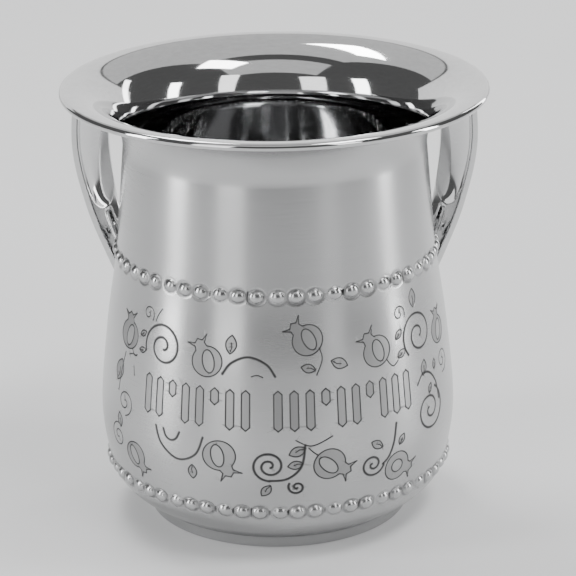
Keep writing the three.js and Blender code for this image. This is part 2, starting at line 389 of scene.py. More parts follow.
BOLD_ARCS = (
    ((-18.0, 60.6), (-15.0, 64.2), (-9.3, 66.2), (-3.6, 64.2), (-0.8, 60.6)),
    ((-42.0, 40.8), (-39.6, 35.6), (-33.2, 32.0), (-26.8, 34.6), (-24.2, 40.4)),
    ((-38.8, 40.6), (-37.8, 38.4), (-35.8, 37.5), (-33.8, 38.4), (-32.6, 40.6)),
    ((-3.0, 28.2), (2.6, 28.8), (7.0, 32.6), (8.3, 39.4)),
    ((34.6, 29.2), (37.0, 31.2), (39.0, 35.4), (40.2, 41.0)),
    ((51.5, 49.8), (54.8, 52.4), (59.0, 51.6), (62.6, 47.6), (63.8, 42.0)),
)
FINE_ARCS = (
    ((5.4, 41.0), (10.4, 39.0), (17.0, 41.4)), ((13.8, 68.4), (14.6, 65.0), (12.6, 60.4)),
    ((38.2, 61.0), (40.6, 58.6), (43.0, 59.8)), ((-56.0, 61.0), (-54.4, 59.4), (-53.0, 60.0)),
    ((-57.6, 59.0), (-55.6, 59.6), (-53.2, 59.6)), ((9.4, 38.4), (10.8, 37.0), (12.2, 36.0)),
    ((-45.0, 72.2), (-44.0, 74.4), (-42.4, 76.4)), ((-54.4, 56.0), (-54.1, 54.6), (-53.8, 53.2)),
    ((-8.4, 60.4), (-6.6, 60.9), (-4.8, 60.3)), ((-63.0, 46.0), (-62.0, 52.0), (-60.0, 59.0)),
)
ARC_STEPS, LENS_LEVEL, VEIN_SHARE = 24, 0.45, 0.8
VINE_FROM, VINE_TO, VINE_STEP = 135.0, 225.0, 9.0
VINE_SWING, VINE_LEAF, VINE_LEAF_DROP = 2.6, 4.4, 0.6
HANGING_TILT, STANDING_TILT = 200.0, 20.0
BARS_FROM, BARS_TO, BAR_SLOTS = -46.0, 46.0, 19
EMPTY_SLOTS, SHORT_SLOTS = (8,), (2, 5, 12, 15)
BAR_HEIGHT, BAR_TALL, BAR_SHORT, BAR_WIDTH = 50.0, 12.4, 5.2, 2.4


class Drawing:
    """Engraved lines and etched grounds on the unrolled wall: x is arc length, y is height."""

    def __init__(self, frieze, radius):
        self.fine, self.bold = frieze.line_width, frieze.bold_width
        self.radius, self.girth = radius, 2 * math.pi * radius
        self.lines, self.grounds = [], []
        self.spray(0.0)
        self.spray(180.0)
        self.bars()
        self.vine()

    def place(self, angle, height):
        """Plane place in mm of an angle in degrees and a height in mm."""
        return math.radians(angle) * self.radius / MM, height

    def line(self, points, width):
        """One engraved line of the given width."""
        self.lines.append((np.asarray(points) * MM, width))

    def closed(self, points, level=1.0):
        """An outlined shape whose inside is etched to the given level."""
        self.line(points, self.fine)
        self.grounds.append((np.asarray(points) * MM, level))

    def leaf(self, size, tilt, place):
        """A leaf and its vein."""
        outline, vein = leaf(size)
        self.closed(turned_by(outline, tilt, place))
        self.line(turned_by(vein, tilt, place), self.fine * VEIN_SHARE)

    def spray(self, turn):
        """All fruits, scrolls and leaves of one side, turned round the cup by the angle."""
        for group, disc in ((FRUITS, False), (DISC_FRUITS, True)):
            for angle, height, radius, tilt in group:
                outline, centre = pomegranate(radius, disc)
                place = self.place(angle + turn, height)
                self.closed(turned_by(outline, tilt, place))
                self.closed(turned_by(centre, tilt, place), LENS_LEVEL)
        for group, width in ((SCROLLS, self.bold), (CURLS, self.fine)):
            for angle, height, radius, turns, start, hand in group:
                place = self.place(angle + turn, height)
                self.line(spiral(radius, turns, start, hand) + place, width)
        for angle, height, size, tilt in LEAVES:
            self.leaf(size, tilt, self.place(angle + turn, height))
        for group, width in ((BOLD_ARCS, self.bold), (FINE_ARCS, self.fine)):
            for points in group:
                places = [self.place(a + turn, z) for a, z in points]
                self.line(smooth_line(places, ARC_STEPS), width)

    def vine(self):
        """A waving stem with a leaf in each wave, level with the bars, round the back."""
        angles = np.arange(VINE_FROM, VINE_TO + 1.0, VINE_STEP)
        ways = np.where(np.arange(len(angles)) % 2, -1.0, 1.0)
        stem = [self.place(angle, BAR_HEIGHT + way * VINE_SWING)
                for angle, way in zip(angles, ways)]
        self.line(smooth_line(stem, ARC_STEPS * len(stem)), self.bold)
        for angle, way in zip(angles[1:-1], ways[1:-1]):
            self.leaf(VINE_LEAF, HANGING_TILT if way > 0 else STANDING_TILT,
                      self.place(angle, BAR_HEIGHT - way * VINE_LEAF_DROP))

    def bars(self):
        """A row of plain pointed bars across the front, in two groups."""
        pitch = (BARS_TO - BARS_FROM) / (BAR_SLOTS - 1)
        for slot in range(BAR_SLOTS):
            if slot in EMPTY_SLOTS:
                continue
            tall = BAR_SHORT if slot in SHORT_SLOTS else BAR_TALL
            height = BAR_HEIGHT + (BAR_TALL - tall) / 2
            place = self.place(BARS_FROM + slot * pitch, height)
            self.closed(upright_bar(BAR_WIDTH, tall) + place)

    def beside(self, flat, shape, margin):
        """Numbers of the points in a shape's box and a margin round it, and their places there,
        carried once round the cup where the shape lies over the seam."""
        laps = np.round((shape[:, 0].mean() - flat[:, 0]) / self.girth)
        here = columns(flat[:, 0] + laps * self.girth, flat[:, 1])
        inside = (here > shape.min(0) - margin) & (here < shape.max(0) + margin)
        near = np.flatnonzero(inside.all(1))
        return near, here[near]


# Mesh points that follow an engraved line: rails are shares of its half width to each side

RAILS = (-1.0, -0.6, 0.0, 0.6, 1.0)
COLLAR_POINTS, COLLAR_REACH = 10, (0.6, 1.06)
SHARP_TURN, CORNER_CLEARANCE = math.radians(25), 0.45


def travelled(points):
    """Distance along a line to each of its points."""
    legs = np.hypot(*np.diff(points, axis=0).T)
    return np.concatenate([[0.0], np.cumsum(legs)])


def corner_places(points):
    """Numbers of the points where a line turns sharply."""
    way = np.diff(points, axis=0)
    way = way / (np.hypot(*way.T)[:, None] + 1e-12)
    return 1 + np.flatnonzero((way[1:] * way[:-1]).sum(1) < math.cos(SHARP_TURN))


def resampled(points, step):
    """The same line with points an even step apart, and its sharp corners kept."""
    travel = travelled(points)
    at = np.linspace(0.0, travel[-1], max(int(travel[-1] / step), 2) + 1)
    corners = travel[corner_places(points)]
    if len(corners):
        gap = np.abs(at[:, None] - corners[None]).min(1)
        gap[[0, -1]] = step
        at = np.sort(np.concatenate([at[gap > step * CORNER_CLEARANCE], corners]))
    return columns(*(np.interp(at, travel, column) for column in points.T))


def rails(points, width, step):
    """Lines beside each other along an engraved line, and a collar of points round each of its
    corners and ends."""
    line, half = resampled(points, step), width / 2
    side = left_of(line) * half
    turns = np.concatenate([points[[0, -1]], points[corner_places(points)]])
    angle = np.arange(COLLAR_POINTS) / COLLAR_POINTS * 2 * math.pi
    collar = columns(np.cos(angle), np.sin(angle)) * half
    return np.concatenate([line + side * offset for offset in RAILS]
                          + [turn + collar * reach for reach in COLLAR_REACH for turn in turns])


def distance_to_line(points, line):
    """Distance from each point to the nearest leg of a line, and the unit vector away from it."""
    start, leg = line[:-1], np.diff(line, axis=0)
    gap = points[:, None] - start[None]
    t = np.clip((gap * leg[None]).sum(2) / ((leg ** 2).sum(1) + 1e-18), 0, 1)
    away = gap - t[..., None] * leg[None]
    reach = np.sqrt((away ** 2).sum(2))
    nearest = np.arange(len(points)), reach.argmin(1)
    return reach[nearest], away[nearest] / (reach[nearest][:, None] + 1e-9)


def inside_outline(points, outline):
    """Even-odd test of points against a closed line."""
    x, y = points[:, 0:1], points[:, 1:2]
    x0, y0 = outline[:-1].T
    x1, y1 = outline[1:].T
    spans = (y0 > y) != (y1 > y)
    crossing = x0 + (y - y0) * (x1 - x0) / np.where(y1 == y0, 1e-12, y1 - y0)
    return np.logical_and(spans, x < crossing).sum(1) % 2 == 1


MERGE_DISTANCE, SLIVER = 0.004 * MM, 0.001 * MM
SAME_ANGLE, KNOWN_NORMAL = 1e-9, 0.5


class Surface:
    """Vertices and faces of one mesh, gathered ring by ring and patch by patch."""

    def __init__(self):
        self.points, self.faces, self.kinds = [], [], []
        self.normals, self.etch, self.ground = [], [], []
        self.size, self.last = 0, None

    def add(self, points, normals=None, etch=None, ground=None):
        """Add vertices and give back the index of the first."""
        blank = np.zeros(len(points))
        self.points.append(points)
        self.normals.append(np.zeros((len(points), 3)) if normals is None else normals)
        self.etch.append(blank if etch is None else etch)
        self.ground.append(blank if ground is None else ground)
        self.size += len(points)
        return self.size - len(points)

    def triangles(self, corners, kind):
        """Add triangles that wear material number kind."""
        self.faces.append(np.asarray(corners, int))
        self.kinds.append(np.full(len(corners), kind, int))

    def ring(self, points, kind, normals=None, etch=None):
        """Add one ring of vertices, joined to the ring before it."""
        first = self.add(points, normals, etch)
        if self.last is not None:
            self.bridge(*self.last, first, len(points), kind)
        self.last = first, len(points)

    def bridge(self, lower, low_count, upper, up_count, kind):
        """Triangles between two rings that may hold different numbers of points: every point,
        taken in order of angle, closes a triangle with the last points passed on both rings. A
        pole on the axis is a ring of one point."""
        j, k = np.arange(low_count), np.arange(up_count)
        next_j, next_k = (j + 1) % low_count, (k + 1) % up_count
        if low_count == up_count:
            self.triangles(columns(lower + j, lower + next_j, upper + next_k), kind)
            self.triangles(columns(lower + j, upper + next_k, upper + k), kind)
            return
        low_at, up_at = (j + 1) / low_count, (k + 1) / up_count
        seen_up = np.searchsorted(up_at, low_at - SAME_ANGLE) % up_count
        seen_low = np.searchsorted(low_at, up_at + SAME_ANGLE) % low_count
        if low_count > 1:
            self.triangles(columns(lower + j, lower + next_j, upper + seen_up), kind)
        if up_count > 1:
            self.triangles(columns(lower + seen_low, upper + next_k, upper + k), kind)

    def made(self, name, materials):
        """Blender object of the closed surface: points merged, faces outwards, with the
        attributes and, where given, exact normals."""
        mesh = bpy.data.meshes.new(name)
        mesh.from_pydata(np.concatenate(self.points).tolist(), [],
                         np.concatenate(self.faces).tolist())
        for material in materials:
            mesh.materials.append(material)
        mesh.polygons.foreach_set("material_index", np.concatenate(self.kinds))
        for key, kind, field, values in (("etch", "FLOAT", "value", self.etch),
                                         ("ground", "FLOAT", "value", self.ground),
                                         ("set_normal", "FLOAT_VECTOR", "vector", self.normals)):
            mesh.attributes.new(key, kind, "POINT").data.foreach_set(
                field, np.concatenate(values).ravel())
        work = bmesh.new()
        work.from_mesh(mesh)
        bmesh.ops.remove_doubles(work, verts=work.verts, dist=MERGE_DISTANCE)
        bmesh.ops.dissolve_degenerate(work, edges=work.edges, dist=SLIVER)
        bmesh.ops.recalc_face_normals(work, faces=work.faces)
        work.to_mesh(mesh)
        work.free()
        mesh.polygons.foreach_set("use_smooth", np.ones(len(mesh.polygons), bool))
        self.set_normals(mesh)
        piece = bpy.data.objects.new(name, mesh)
        bpy.context.scene.collection.objects.link(piece)
        return piece

    @staticmethod
    def set_normals(mesh):
        """Use the worked-out normal where there is one and the mesh's own elsewhere."""
        given, own = np.empty((2, len(mesh.vertices) * 3))
        mesh.attributes["set_normal"].data.foreach_get("vector", given)
        mesh.vertex_normals.foreach_get("vector", own)
        given, own = given.reshape(-1, 3), own.reshape(-1, 3)
        known = (given ** 2).sum(1) > KNOWN_NORMAL ** 2
        mesh.normals_split_custom_set_from_vertices(np.where(known[:, None], given, own).tolist())
        mesh.attributes.remove(mesh.attributes["set_normal"])


def on_ring(angle, radius, height):
    """Points at an angle measured from the front (-Y) towards +X."""
    return np.stack([radius * np.sin(angle), -radius * np.cos(angle),
                     np.broadcast_to(height, np.shape(angle))], -1)


def ring_angles(number):
    """Even angles round the cup, from the seam at the back."""
    return np.arange(number) / number * 2 * math.pi - math.pi


def tilted(angle, out, up, slopes):
    """Outward normals of the wall, leaned back by the relief's slopes round and up the cup."""
    round_way = columns(np.cos(angle), np.sin(angle), 0.0)
    outward = on_ring(angle, out, up)
    rise_way = np.cross(outward, round_way)
    normals = outward - round_way * slopes[:, :1] - rise_way * slopes[:, 1:]
    return normals / np.sqrt((normals ** 2).sum(1))[:, None]


# Body mesh: which steel a ring wears, how many points and rings there are, and small distances
# that place the bends and the gaps between the fine bands and the plain rings

SATIN, POLISHED = 0, 1
PLAIN_COLUMNS = 144
OUTER_BEAD_COLUMNS, OUTER_BEAD_ROWS = 12, 19
INNER_BEAD_COLUMNS, INNER_BEAD_ROWS = 6, 13
BAND_FADE, BAND_GAP = 0.8 * MM, 0.6 * MM
SLOPE_STEP, DIMPLE_SHARE = 0.01 * MM, 0.85
FOOT_SOFT, FOOT_SEAT, SEAT_START = 0.5 * MM, 0.8 * MM, 1.0 * MM
RECESS_BEND, RECESS_CORNER = 1.6 * MM, 0.6 * MM
RECESS_RINGS, FLOOR_RINGS = np.linspace(0.12, 1.0, 8), np.linspace(0.85, 0.1, 8)
HEEL_ROWS, NECK_ROWS, INNER_NECK_ROWS, INNER_WALL_ROWS, INNER_HEEL_ROWS = 9, 12, 12, 20, 8
HEEL_START, FLOOR_START = 1.6 * MM, 2.6 * MM
FLOOR_BEND, FLOOR_CORNER = 9.0 * MM, 4.0 * MM
NECK_GAP, THROAT_GAP = 1.0 * MM, 2.0 * MM
FLARE_STEPS, LIP_STEPS, LIP_START = 22, 22, -math.pi * 0.86
LINE_CLEAR, SEAM_CLEAR = 0.6 * MM, 0.3 * MM
GRID_CELL, GRID_START, GRID_STOP, GRID_STAGGER = 0.5 * MM, 0.5, 0.3, 0.25
BORDER_FADE, ETCH_POWER, FULL_GROUND, BARE_ETCH = 1.0 * MM, 0.6, 0.5, 0.05


class CupMesh:
    """The body, built along its outline from the middle of the underside to the inside floor."""

    def __init__(self, settings):
        self.cup, self.beads, self.frieze = settings.cup, settings.beads, settings.frieze
        self.wall = Wall(self.cup)
        self.surface = Surface()

    def plain(self, line, kind, number=PLAIN_COLUMNS):
        """Plain rings along a line of (radius, height) points; a pole is a ring of one point."""
        angle = ring_angles(number)
        for radius, height in line:
            self.surface.ring(on_ring(angle, radius, height), kind)

    def outer_rows(self, low, high, steps):
        """Plain rings on the outer wall, from low to high."""
        z = np.linspace(low, high, steps)
        self.plain(columns(self.wall.radius(z), z), SATIN)

    def inner_rows(self, high, low, steps):
        """Plain rings on the inner wall, from high to low."""
        self.plain(self.wall.inner(np.linspace(high, low, steps)), POLISHED)

    def relief(self, angle, z, row_height, number):
        """Height and shade of a bead row, fading out at the edges of its band."""
        rise, shade = bead_relief(angle, z - row_height, number, self.beads, self.wall.radius(z))
        fade = smooth_step((self.beads.band - abs(z - row_height)) / BAND_FADE)
        return rise * fade, shade * fade

    def bead_band(self, heights, row_height, number, inner=False):
        """Rings that carry one row of beads, or the dimples behind them; the normals follow the
        relief's slopes, taken as differences over a hundredth of a millimetre."""
        angle = ring_angles(number * (INNER_BEAD_COLUMNS if inner else OUTER_BEAD_COLUMNS))
        for z in heights:
            out, up = self.wall.normal(z)
            radius = self.wall.radius(z)
            rise, shade = self.relief(angle, z, row_height, number)
            across = self.relief(angle + SLOPE_STEP / radius, z, row_height, number)[0] - rise
            above = self.relief(angle, z + SLOPE_STEP, row_height, number)[0] - rise
            slopes = columns(across, above) / SLOPE_STEP
            if inner:
                rise, slopes = rise * DIMPLE_SHARE - self.cup.wall, slopes * DIMPLE_SHARE
            points = on_ring(angle, radius + rise * out, z + rise * up)
            normals = tilted(angle, out, up, slopes)
            if inner:
                self.surface.ring(points, POLISHED, -normals)
            else:
                # Painted shade: the crease darkening goes into the same attribute as the engraved
                # lines and is painted in the etched colour.
                self.surface.ring(points, SATIN, normals, shade)

    def underside(self):
        """Recess under the floor and the ring that the cup stands on."""
        cup, soft = self.cup, FOOT_SOFT
        recess, foot, top = cup.foot_recess, cup.foot_radius, cup.foot_height
        inside = foot - cup.foot_ring
        seat = top + FOOT_SEAT
        self.plain([(0.0, recess)], SATIN, 1)
        self.plain(columns(RECESS_RINGS * (inside - recess), recess), SATIN)
        for rings in (
                bend((inside - RECESS_BEND, recess), (inside - RECESS_CORNER, recess),
                     (inside, soft), 4)[1:],
                bend((inside, soft), (inside, 0), (inside + soft, 0), 3)[1:],
                bend((foot - soft, 0), (foot, 0), (foot, soft), 3),
                bend((foot, top - SEAT_START), (foot, top), (self.wall.radius(seat), seat), 4)):
            self.plain(rings, SATIN)

    def outside(self):
        """Heel, lower beads, frieze, upper beads and neck."""
        cup, beads, band = self.cup, self.beads, self.beads.band
        heel, shoulder = cup.heel_height, cup.shoulder_height
        rows = np.linspace(-band, band, OUTER_BEAD_ROWS)
        self.outer_rows(cup.foot_height + HEEL_START, heel - band - BAND_GAP, HEEL_ROWS)
        self.bead_band(heel + rows, heel, beads.heel_count)
        self.surface.last = None  # the frieze joins the two bead bands
        self.bead_band(shoulder + rows, shoulder, beads.shoulder_count)
        self.engraved(heel + band, beads.heel_count * OUTER_BEAD_COLUMNS,
                      shoulder - band, beads.shoulder_count * OUTER_BEAD_COLUMNS)
        self.outer_rows(shoulder + band + BAND_FADE, cup.height - cup.flare_depth - NECK_GAP,
                        NECK_ROWS)

    def flare_and_lip(self):
        """Under side of the flare, the rolled lip, and the mirror-bright upper side."""
        cup = self.cup
        under = flare_line(cup, FLARE_STEPS)
        over = under + left_of(under) * cup.wall
        angle = np.linspace(LIP_START, math.pi / 2, LIP_STEPS)
        roll = columns(np.cos(angle), np.sin(angle)) * cup.lip_roll
        self.plain(under[:-2], SATIN)
        self.plain(roll + (cup.rim_radius - cup.lip_roll, cup.height - cup.lip_roll), POLISHED)
        self.plain(over[-2::-1], POLISHED)

    def inside(self):
        """Inner wall with the dimples behind both bead rows, down to the floor."""
        cup, beads, band = self.cup, self.beads, self.beads.band
        heel, shoulder = cup.heel_height, cup.shoulder_height
        throat, foot = cup.height - cup.flare_depth - THROAT_GAP, cup.foot_height + FLOOR_START
        rows = np.linspace(band, -band, INNER_BEAD_ROWS)
        self.inner_rows(throat, shoulder + band + BAND_GAP, INNER_NECK_ROWS)
        self.bead_band(shoulder + rows, shoulder, beads.shoulder_count, inner=True)
        self.inner_rows(shoulder - band - BAND_GAP, heel + band + BAND_GAP, INNER_WALL_ROWS)
        self.bead_band(heel + rows, heel, beads.heel_count, inner=True)
        self.inner_rows(heel - band - BAND_GAP, foot, INNER_HEEL_ROWS)
        floor = cup.foot_recess + cup.wall
        radius, z = self.wall.inner(foot)
        flat = radius - FLOOR_BEND
        self.plain(bend((radius, z), (radius - FLOOR_CORNER, floor), (flat, floor), 7)[1:],
                   POLISHED)
        self.plain(columns(FLOOR_RINGS * flat, floor), POLISHED)
        self.plain([(0.0, floor)], POLISHED, 1)

    def engraved(self, low, low_count, high, high_count):
        """Frieze: a triangulated patch of the unrolled wall whose points follow every engraved
        line. Each point then sinks by depth (1 - (d / half width)^2)^2, d off a line's middle."""
        frieze = self.frieze
        drawing = Drawing(frieze, 0.5 * (self.wall.radius(low) + self.wall.radius(high)))
        side = drawing.girth / 2
        marks = np.concatenate([rails(line, width, frieze.station_step)
                                for line, width in drawing.lines])
        marks[:, 0] = np.mod(marks[:, 0] + side, 2 * side) - side
        fits = (marks[:, 1] > low + LINE_CLEAR) & (marks[:, 1] < high - LINE_CLEAR)
        marks = marks[fits & (np.abs(marks[:, 0]) < side - SEAM_CLEAR)]
        seam = np.arange(low, high, frieze.grid_step)[1:]
        border = np.concatenate([
            columns(ring_angles(low_count) * drawing.radius, low),
            columns(side, [low, *seam, high]),
            columns(ring_angles(high_count) * drawing.radius, high)[::-1],
            columns(-side, seam[::-1])])
        number = np.arange(len(border))
        edges = columns(number, np.roll(number, -1))
        joined = np.concatenate([border, self.open_grid(marks, side, low, high), marks]) / MM
        result = delaunay_2d_cdt([Vector(p) for p in joined], edges.tolist(), [], 1, 1e-5, False)
        self.patch(np.array([tuple(p) for p in result[0]]) * MM, np.array(result[2]), drawing)

    def open_grid(self, marks, side, low, high):
        """Plain grid points that keep clear of the engraved lines' points."""
        step = self.frieze.grid_step
        across = np.arange(-side + step, side - step / 2, step)
        heights = np.arange(low + step * GRID_START, high - step * GRID_STOP, step)
        x, z = np.meshgrid(across, heights)
        x = x + np.where(np.arange(len(heights)) % 2, step, -step)[:, None] * GRID_STAGGER
        grid = columns(x.ravel(), z.ravel())
        corner = np.array([-side, low]) - 2 * GRID_CELL
        cells = ((2 * side / GRID_CELL, (high - low) / GRID_CELL) + np.array(8)).astype(int)
        taken = np.zeros(cells, bool)
        column, row = ((marks - corner) / GRID_CELL).astype(int).T
        for dx in (-1, 0, 1):
            for dz in (-1, 0, 1):
                taken[column + dx, row + dz] = True
        column, row = ((grid - corner) / GRID_CELL).astype(int).T
        return grid[~taken[column, row]]

    def patch(self, flat, corners, drawing):
        """Sink the flat points, roll them up and add the patch with its exact normals."""
        frieze = self.frieze
        etch, ground, tilt = np.zeros(len(flat)), np.zeros(len(flat)), np.zeros((len(flat), 2))
        for line, width in drawing.lines:
            half = width / 2
            near, here = drawing.beside(flat, line, half)
            distance, away = distance_to_line(here, line)
            bowl = np.clip(1 - (distance / half) ** 2, 0, 1)
            deeper = bowl > etch[near]
            chosen = near[deeper]
            etch[chosen] = bowl[deeper]
            slope = 4 * frieze.depth * distance * bowl / half ** 2
            tilt[chosen] = (away * slope[:, None])[deeper]
        for outline, level in drawing.grounds:
            near, here = drawing.beside(flat, outline, 0.0)
            ground[near[inside_outline(here, outline)]] = level
        angle, z = flat[:, 0] / drawing.radius, flat[:, 1]
        edge = smooth_step(np.minimum(z - z.min(), z.max() - z) / BORDER_FADE)
        etch, ground, tilt = etch * edge, ground * edge, tilt * edge[:, None]
        out, up = self.wall.normal(z)
        bare = (ground > FULL_GROUND) & (etch < BARE_ETCH)
        sunk = frieze.depth * etch ** 2 + frieze.ground_depth * bare
        points = on_ring(angle, self.wall.radius(z) - sunk * out, z - sunk * up)
        first = self.surface.add(points, tilted(angle, out, up, tilt), etch ** ETCH_POWER, ground)
        self.surface.triangles(corners + first, SATIN)


def build_cup(settings, materials):
    """The whole body as one closed mesh."""
    cup = CupMesh(settings)
    cup.underside()
    cup.outside()
    cup.flare_and_lip()
    cup.inside()
    return cup.surface.made("washing_cup_body", materials)


# Handles. The line's ends run past the rim and into the wall, and its two bends are shares of
# the way out to the crest and down to the foot.

STRAP_STATIONS, STRAP_COLUMNS, EDGE_LINE_STEPS, SEAT_STEPS = 180, 144, 600, 80
CREST_IN, ABOVE_RIM, BELOW_RIM, FOOT_DROP = 2.6 * MM, 1.0 * MM, 1.4 * MM, 4.0 * MM
UPPER_BEND, LOWER_BEND = (0.79, 0.43), (0.42, 0.76)
DISH_POWER, GROOVE_SHARE = 0.85, 0.5
GROOVE_GAP, GROOVE_START, GROOVE_EDGE = 0.5 * MM, 1.6 * MM, 2.2 * MM
SECTION_POWER, TOP_SPREAD, TOP_SPREAD_FADE = 7.0, 0.5 * MM, 1.2 * MM
WALL_SINK, FLARE_SINK = 0.45, 0.4


def handle_line(cup, handle):
    """Outer edge line of the strap in the plane of radius and height, cut below the rim."""
    spread = handle.reach - cup.shoulder_radius
    drop = handle.crest_height - handle.foot_height
    bends = [(cup.shoulder_radius + spread * out, handle.crest_height - drop * down)
             for out, down in (UPPER_BEND, LOWER_BEND)]
    line = smooth_line([
        (handle.reach - CREST_IN, cup.height + ABOVE_RIM),
        (handle.reach, handle.crest_height), *bends,
        (cup.shoulder_radius - cup.wall, handle.foot_height - FOOT_DROP)], EDGE_LINE_STEPS)
    line = line[line[:, 1] < cup.height - BELOW_RIM]
    return resampled(line, travelled(line)[-1] / (STRAP_STATIONS + 0.5))


def dish_depth(across, travel, half, handle):
    """Depth of the dish, (1 - q^2)^0.85 with q the distance from its middle line over its half
    width, with a round end, and of the narrow groove that runs on below it."""
    dish_half = half - handle.flange
    past_end = np.maximum(travel - handle.dish_length + dish_half, 0.0)
    q = np.hypot(across, past_end) / dish_half
    dish = handle.dish * np.clip(1 - q ** 2, 0, 1) ** DISH_POWER
    started = smooth_step((travel - handle.dish_length - GROOVE_GAP) / GROOVE_START)
    groove = smooth_step((handle.groove_half - np.abs(across)) / GROOVE_EDGE) * started
    return np.maximum(dish, GROOVE_SHARE * handle.dish * groove)


def strap_section(line, handle):
    """Strap section carried along the line, as places outward, across and up for each station
    and column. The two faces are the halves of |x|^7 + |y|^7 = 1, stretched; the outer one is
    crowned by 1 - x^2 and the inner one is pushed in by the dish."""
    travel = travelled(line)
    ease = smooth_step(travel / travel[-1])
    half = 0.5 * (handle.top_width + (handle.foot_width - handle.top_width) * ease)
    half = (half + TOP_SPREAD * np.exp(-travel / TOP_SPREAD_FADE))[:, None]
    t = (np.arange(STRAP_COLUMNS) + 0.5) / STRAP_COLUMNS * 2 * math.pi
    x, y = np.cos(t), np.sin(t)
    stretch = (np.abs(x) ** SECTION_POWER + np.abs(y) ** SECTION_POWER) ** (-1 / SECTION_POWER)
    x, y, thin = x * stretch, y * stretch, handle.edge / 2
    depth = dish_depth(half * x, travel[:, None], half, handle)
    outer_face = (y - 1) * thin + handle.crown * (1 - x ** 2) * np.clip(y, 0, 1)
    inner_face = -thin + y * (thin - depth)
    height = np.where(y >= 0, outer_face, inner_face)
    outward = left_of(line)
    return line[:, :1] + outward[:, :1] * height, half * x, line[:, 1:] + outward[:, 1:] * height


def seated(outward, across, z, cup):
    """The section with its ends sunk a little into the wall and the flare, as soldered."""
    least = Wall(cup).radius(z) - WALL_SINK * cup.wall
    pull = np.maximum(least / np.hypot(outward, across), 1.0)
    pull = np.where(z < cup.shoulder_height, pull, 1.0)
    outward, across = outward * pull, across * pull
    flare = flare_line(cup, SEAT_STEPS)
    under = np.interp(np.hypot(outward, across), flare[:, 0], flare[:, 1])
    return outward, across, np.minimum(z, under + FLARE_SINK * cup.wall)


def build_handle(name, settings, side, materials):
    """One strap as a closed mesh; side is -1 on the left and 1 on the right."""
    cup, handle = settings.cup, settings.handle
    section = strap_section(handle_line(cup, handle), handle)
    outward, across, z = seated(*section, cup)
    angle = handle.set_back
    x = side * (outward * math.cos(angle) + across * math.sin(angle))
    y = outward * math.sin(angle) - across * math.cos(angle)
    rings = np.stack([x, y, z], -1)
    ends = rings[[0, -1]].mean(1)
    surface = Surface()
    for ring in (ends[:1], *rings, ends[1:]):
        surface.ring(ring, 0)
    return surface.made(name, materials)


# Materials: noise scales on the object's coordinates and stretches along each axis. A high
# upward stretch gives fine level lines.

LINE_SCALE, LINE_STRETCH = 60.0, (1.0, 1.0, 60.0)
CLOUD_SCALE, CLOUD_STRETCH = 38.0, (1.0, 1.0, 0.6)
MARK_SCALE, MARK_STRETCH = 260.0, (1.0, 1.0, 5.0)
WAVE_SCALE, MOTTLE_SCALE, EVEN = 45.0, 6.0, (1.0, 1.0, 1.0)
LINE_BUMP, WAVE_BUMP = (0.12, 0.02 * MM), (0.12, 0.25 * MM)


class Nodes:
    """Short ways to add and link shader nodes."""

    def __init__(self, name):
        self.material = bpy.data.materials.new(name)
        self.material.use_nodes = True
        self.tree = self.material.node_tree
        self.shader = self.tree.nodes["Principled BSDF"]

    def add(self, kind, **values):
        """A node with some of its properties set."""
        node = self.tree.nodes.new(kind)
        for key, value in values.items():
            setattr(node, key, value)
        return node

    def give(self, socket, value):
        """Feed an input from an output, or set its plain number or colour."""
        if isinstance(value, bpy.types.NodeSocket):
            self.tree.links.new(value, socket)
        elif isinstance(value, tuple):
            socket.default_value = (*value, 1.0)
        else:
            socket.default_value = value

    def look(self, name, value):
        """Set or feed one of the shader's own inputs."""
        self.give(self.shader.inputs[name], value)

    def object_noise(self, scale, stretch, detail=3.0, roughness=0.5):
        """Noise on the object's own coordinates, stretched by a scale along each axis."""
        coordinate = self.add("ShaderNodeTexCoord")
        mapping = self.add("ShaderNodeMapping")
        mapping.inputs["Scale"].default_value = stretch
        self.give(mapping.inputs["Vector"], coordinate.outputs["Object"])
        noise = self.add("ShaderNodeTexNoise")
        for name, value in (("Vector", mapping.outputs["Vector"]), ("Scale", scale),
                            ("Detail", detail), ("Roughness", roughness)):
            self.give(noise.inputs[name], value)
        return noise.outputs["Fac"]

    def ramp(self, factor, low, high):
        """Map nought to one onto a range of values."""
        node = self.add("ShaderNodeMapRange")
        for name, value in (("Value", factor), ("To Min", low), ("To Max", high)):
            self.give(node.inputs[name], value)
        return node.outputs["Result"]

    def mix(self, factor, first, second):
        """Mix two colours. A Mix node holds sockets for every kind: the colours are inputs six
        and seven and output two."""
        node = self.add("ShaderNodeMix", data_type="RGBA")
        for number, value in ((0, factor), (6, first), (7, second)):
            self.give(node.inputs[number], value)
        return node.outputs[2]

    def math(self, operation, first, second):
        """One sum on two values; each is a socket or a number."""
        node = self.add("ShaderNodeMath", operation=operation)
        self.give(node.inputs[0], first)
        self.give(node.inputs[1], second)
        return node.outputs["Value"]

    def attribute(self, name):
        """A number stored on the mesh's points."""
        return self.add("ShaderNodeAttribute", attribute_name=name).outputs["Fac"]

    def bump(self, height, strength, distance):
        """Fine relief for the shader's normal."""
        node = self.add("ShaderNodeBump")
        for name, value in (("Strength", strength), ("Distance", distance), ("Height", height)):
            self.give(node.inputs[name], value)
        self.look("Normal", node.outputs["Normal"])


def darker(colour, share_left):
    """A colour scaled down evenly."""
    return tuple(channel * share_left for channel in colour)


